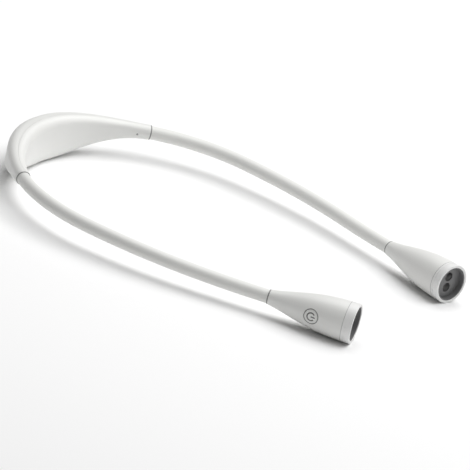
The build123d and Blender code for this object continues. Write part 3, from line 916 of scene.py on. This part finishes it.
def flat_sign(name, top, depth):
    """The standby sign as a solid: an open ring and a bar that points forward."""
    sign = flat_ring(name, SIGN_RADIUS + SIGN_STROKE / 2, SIGN_RADIUS - SIGN_STROKE / 2, top, SIGN_SIDES)
    edit(sign)
    bpy.ops.mesh.select_mode(type="FACE")
    bpy.ops.mesh.select_all(action="DESELECT")
    done()
    for polygon in sign.data.polygons:
        ahead = polygon.center.z - BUTTON_PLACE
        polygon.select = ahead > cos(SIGN_GAP) * Vector((polygon.center.x, ahead)).length
    edit(sign)
    bpy.ops.mesh.delete(type="FACE")
    bar_middle = (0, top, BUTTON_PLACE + BAR_LENGTH / 2)
    bpy.ops.mesh.primitive_plane_add(size=1, location=bar_middle, rotation=(pi / 2, 0, 0))
    bpy.ops.transform.resize(value=(SIGN_STROKE, 1, BAR_LENGTH), center_override=bar_middle)
    bpy.ops.mesh.subdivide(number_cuts=BAR_CUTS)
    thicken(depth)
    done()
    return sign


def button_cap():
    """The cap: a filled ring with a soft edge, its skirt and its flange, under the head's own skin."""
    deselect()
    bpy.ops.mesh.primitive_circle_add(
        vertices=CAP_SIDES,
        radius=BUTTON_RADIUS,
        fill_type="NGON",
        location=(0, skin_top, BUTTON_PLACE),
        rotation=(-pi / 2, 0, 0),
    )
    cap = bpy.context.object
    cap.name = "right_button_cap"
    apply_place(cap)
    edit(cap)
    bpy.ops.mesh.select_all(action="SELECT")
    for ring in range(CAP_RINGS):
        bpy.ops.mesh.inset(thickness=CAP_RING_WIDTH)
    bpy.ops.mesh.select_all(action="DESELECT")
    bpy.ops.mesh.select_mode(type="EDGE")
    bpy.ops.mesh.select_non_manifold()
    down = {"value": (0, flange_top - skin_top, 0)}
    bpy.ops.mesh.extrude_edges_move(TRANSFORM_OT_translate=down)
    bpy.ops.mesh.extrude_edges_move()
    out_share = flange_reach / BUTTON_RADIUS
    centre = (0, flange_top, BUTTON_PLACE)
    bpy.ops.transform.resize(value=(out_share, 1, out_share), center_override=centre)
    bpy.ops.mesh.extrude_edges_move(TRANSFORM_OT_translate={"value": (0, -BUTTON_FLANGE_HEIGHT, 0)})
    bpy.ops.mesh.edge_face_add()
    bpy.ops.mesh.select_mode(type="VERT")
    bpy.ops.mesh.select_all(action="SELECT")
    bpy.ops.mesh.normals_make_consistent(inside=False)
    done()
    onto_skin(cap.data, skin_top - BUTTON_EDGE)
    soften_edges(cap, BUTTON_EDGE, least=CAP_SHARP_ANGLE)
    return cap


sign_grey = moulded(
    "grey_sign_fill",
    base=(0.1, 0.1, 0.1),
    shade=(0.14, 0.14, 0.14),
    cloudiness=0.6,
    gloss=(0.4, 0.5),
    grain_scale=5000,
    grain_height=0.000005,
)
cap = button_cap()
cutter = flat_sign("sign_cutter", skin_top + SIGN_DEPTH, 2 * SIGN_DEPTH)
onto_skin(cutter.data, skin_top - 2 * SIGN_DEPTH)
sink = cap.modifiers.new("sunk_sign", "BOOLEAN")
sink.operation = "DIFFERENCE"
sink.solver = "EXACT"
sink.object = cutter
bpy.context.view_layer.objects.active = cap
bpy.ops.object.modifier_apply(modifier=sink.name)
bpy.data.objects.remove(cutter)
sign = flat_sign("right_standby_sign", skin_top - SIGN_FILL, SIGN_DEPTH - SIGN_FILL)
onto_skin(sign.data, skin_top - 2 * SIGN_DEPTH)
# The groove ring's grey is painted shade, standing in for the shadow in the groove round the cap.
ring = flat_ring("right_button_ring", RING_OUTER, RING_INNER, skin_top - RING_SINK, CAP_SIDES)
edit(ring)
thicken(RING_THICKNESS)
done()
onto_skin(ring.data, 0)
soften_edges(ring, RING_EDGE, 2)
cap.data.materials.append(shell_plastic)
sign.data.materials.append(sign_grey)
ring.data.materials.append(gap_shade_grey)
for piece, body, slot in (
    (cap, "button", "button_white"),
    (sign, "button", "foam_grey"),
    (ring, "head", "foam_grey"),
):
    place_on_head(piece)
    left_piece = mirrored(piece, piece.name.replace("right_", "left_"))
    for side, item in (("right", piece), ("left", left_piece)):
        smooth(item, BUTTON_SMOOTH_ANGLE)
        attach(item, f"{side}_{body}")
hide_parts("right_power_button")
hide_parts("left_power_button")
